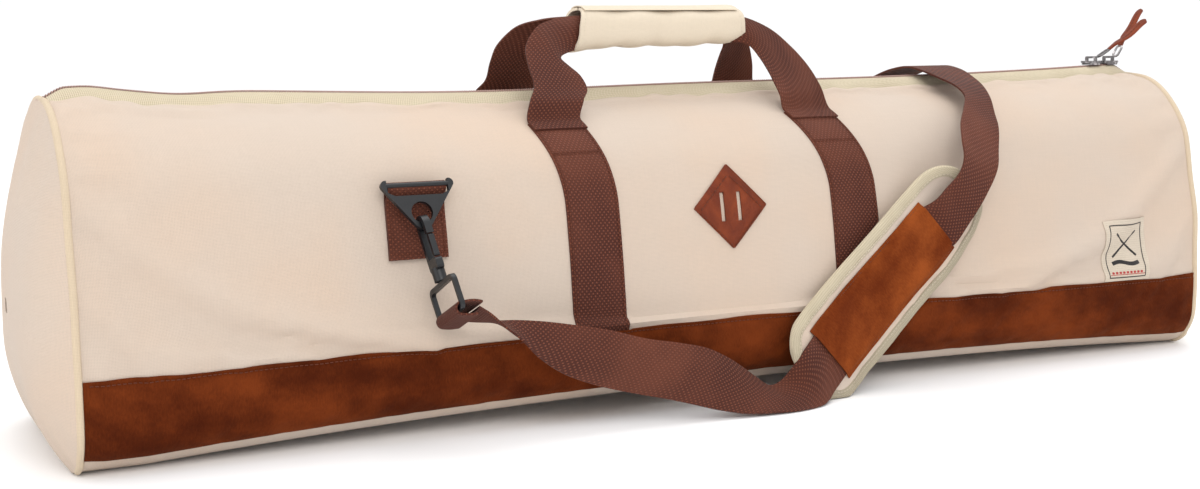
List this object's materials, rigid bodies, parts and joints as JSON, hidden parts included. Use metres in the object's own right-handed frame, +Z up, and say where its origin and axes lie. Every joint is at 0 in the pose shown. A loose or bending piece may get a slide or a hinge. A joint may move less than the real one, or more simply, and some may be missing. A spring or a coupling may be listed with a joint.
{
  "type": "drum hardware bag",
  "caption": "Long soft carry bag for drum hardware: canvas over foam, suede base band, ridge zip, twin webbing handles with wrapped grip, shoulder strap with pad",
  "frame": {"origin": "centre of the flat base, on the surface that the bag stands on", "axes": "+X along the bag, +Y towards its back, +Z up"},
  "size_m": [1.194, 0.3572, 0.3524],
  "materials": {
    "canvas": "woven beige canvas",
    "board": "stiffener board",
    "lining_cloth": "dark woven lining",
    "foam": "closed-cell foam",
    "suede": "brown suede",
    "piping": "canvas piping",
    "zip_tape": "ribbed tape",
    "zip_coil": "moulded zip coil",
    "dark_nickel": "dark nickel plate",
    "leather": "smooth brown leather",
    "webbing": "heavy brown webbing",
    "grip_canvas": "padded canvas",
    "label_cloth": "woven label",
    "black_plastic": "moulded black plastic"
  },
  "bodies": {
    "shell": {"bottom_panel": "canvas", "base_board": "board", "lining": "lining_cloth", "front_panel": "canvas", "back_panel": "canvas", "front_foam": "foam", "back_foam": "foam", "suede_band_front": "suede", "suede_band_back": "suede", "end_panel_left": "canvas", "end_panel_right": "canvas", "piping_left": "piping", "piping_right": "piping", "zip_tape_ends": "zip_tape", "zip_coil_ends": "zip_coil", "lash_patch": "leather", "woven_label": "label_cloth", "ring_tab_front": "webbing", "ring_tab_back": "webbing", "handle_leg_lower_front": "webbing", "handle_leg_lower_back": "webbing", "shoulder_strap_lower": "webbing", "shoulder_strap_back_lower": "webbing", "shoulder_strap_ends": "webbing", "shoulder_strap_upper": "webbing", "shoulder_strap_crossing": "webbing", "shoulder_strap_back": "webbing", "shoulder_strap_in_pad": "webbing", "strap_adjuster": "black_plastic"},
    "front_lip": {"front_lip_panel": "canvas", "front_lip_foam": "foam", "zip_tape_front": "zip_tape", "zip_coil_front": "zip_coil", "handle_leg_upper_front": "webbing"},
    "front_handle": {"handle_loop_front": "webbing", "grip_wrap_front": "grip_canvas"},
    "back_lip": {"back_lip_panel": "canvas", "back_lip_foam": "foam", "zip_tape_back": "zip_tape", "zip_coil_back": "zip_coil", "handle_leg_upper_back": "webbing"},
    "back_handle": {"handle_loop_back": "webbing", "grip_wrap_back": "grip_canvas"},
    "grip_flap": {"grip_flap": "grip_canvas"},
    "slider_left": {"zip_slider_left": "dark_nickel"},
    "pull_left": {"pull_link_left": "dark_nickel", "pull_tab_left": "leather"},
    "slider_right": {"zip_slider_right": "dark_nickel"},
    "pull_right": {"pull_link_right": "dark_nickel", "pull_tab_right": "leather"},
    "ring_front": {"triangle_ring_front": "black_plastic"},
    "hook_front": {"snap_hook_front": "black_plastic"},
    "eye_front": {"swivel_eye_front": "black_plastic"},
    "gate_front": {"hook_gate_front": "black_plastic"},
    "ring_back": {"triangle_ring_back": "black_plastic"},
    "hook_back": {"snap_hook_back": "black_plastic"},
    "eye_back": {"swivel_eye_back": "black_plastic"},
    "gate_back": {"hook_gate_back": "black_plastic"},
    "shoulder_pad": {"shoulder_pad": "canvas", "shoulder_pad_patch": "suede"}
  },
  "joints": [
    {"name": "front_lip_fold", "type": "hinge", "parent": "shell", "child": "front_lip", "pos_m": [0, -0.09555, 0.22574], "axis": [1, 0, 0], "range_deg": [0, 45]},
    {"name": "back_lip_fold", "type": "hinge", "parent": "shell", "child": "back_lip", "pos_m": [0, 0.09555, 0.22574], "axis": [1, 0, 0], "range_deg": [-45, 0]},
    {"name": "front_handle_drop", "type": "hinge", "parent": "front_lip", "child": "front_handle", "pos_m": [0, -0.06719, 0.26374], "axis": [1, 0, 0], "range_deg": [0, 70]},
    {"name": "back_handle_drop", "type": "hinge", "parent": "back_lip", "child": "back_handle", "pos_m": [0, 0.06719, 0.26374], "axis": [1, 0, 0], "range_deg": [-70, 0]},
    {"name": "grip_flap_lift", "type": "hinge", "parent": "front_handle", "child": "grip_flap", "pos_m": [0, -0.012, 0.3514], "axis": [1, 0, 0], "range_deg": [0, 100]},
    {"name": "slider_left_run", "type": "slide", "parent": "shell", "child": "slider_left", "axis": [1, 0, 0], "range_m": [-0.99, 0], "deforming": ["shoulder_strap_crossing"]},
    {"name": "slider_right_run", "type": "slide", "parent": "shell", "child": "slider_right", "axis": [1, 0, 0], "range_m": [0, 0.005]},
    {"name": "pull_left_swing", "type": "hinge", "parent": "slider_left", "child": "pull_left", "pos_m": [0.5256, 0, 0.2964], "axis": [0, 1, 0], "range_deg": [-30, 8]},
    {"name": "pull_right_swing", "type": "hinge", "parent": "slider_right", "child": "pull_right", "pos_m": [0.5496, 0, 0.2964], "axis": [0, 1, 0], "range_deg": [-25, 25]},
    {"name": "hook_front_swing", "type": "hinge", "parent": "shell", "child": "hook_front", "pos_m": [-0.288, -0.10679, 0.21], "axis": [1, 0, 0], "range_deg": [-20, 0]},
    {"name": "ring_front_swing", "type": "hinge", "parent": "shell", "child": "ring_front", "pos_m": [-0.288, -0.10679, 0.21], "axis": [1, 0, 0], "range_deg": [-20, 0]},
    {"name": "eye_front_swivel", "type": "hinge", "parent": "hook_front", "child": "eye_front", "pos_m": [-0.27748, -0.15455, 0.1105], "axis": [-0.1392, 0.4285, 0.8927], "range_deg": [-10, 10]},
    {"name": "gate_front_press", "type": "hinge", "parent": "hook_front", "child": "gate_front", "pos_m": [-0.28445, -0.13921, 0.15817], "axis": [0.9903, 0.0602, 0.1255], "range_deg": [-18, 0], "stiffness_Nm_per_rad": 0.004, "springref_deg": 11.46},
    {"name": "hook_back_swing", "type": "hinge", "parent": "shell", "child": "hook_back", "pos_m": [0.43, 0.10679, 0.21], "axis": [1, 0, 0], "range_deg": [0, 20]},
    {"name": "ring_back_swing", "type": "hinge", "parent": "shell", "child": "ring_back", "pos_m": [0.43, 0.10679, 0.21], "axis": [1, 0, 0], "range_deg": [0, 20]},
    {"name": "eye_back_swivel", "type": "hinge", "parent": "hook_back", "child": "eye_back", "pos_m": [0.41948, 0.15455, 0.1105], "axis": [0.1392, -0.4285, 0.8927], "range_deg": [-10, 10]},
    {"name": "gate_back_press", "type": "hinge", "parent": "hook_back", "child": "gate_back", "pos_m": [0.42645, 0.13921, 0.15817], "axis": [-0.9903, -0.0602, 0.1255], "range_deg": [-18, 0], "stiffness_Nm_per_rad": 0.004, "springref_deg": 11.46},
    {"name": "shoulder_pad_run", "type": "slide", "parent": "shell", "child": "shoulder_pad", "axis": [0.6691, 0.0867, 0.7381], "range_m": [0, 0.02]}
  ],
  "couplings": [
    {"joint": "back_lip_fold", "follows": "front_lip_fold", "ratio": -1},
    {"joint": "slider_left_run", "follows": "front_lip_fold", "m_per_rad": -1.25},
    {"joint": "ring_front_swing", "follows": "hook_front_swing", "ratio": 1},
    {"joint": "ring_back_swing", "follows": "hook_back_swing", "ratio": 1}
  ]
}
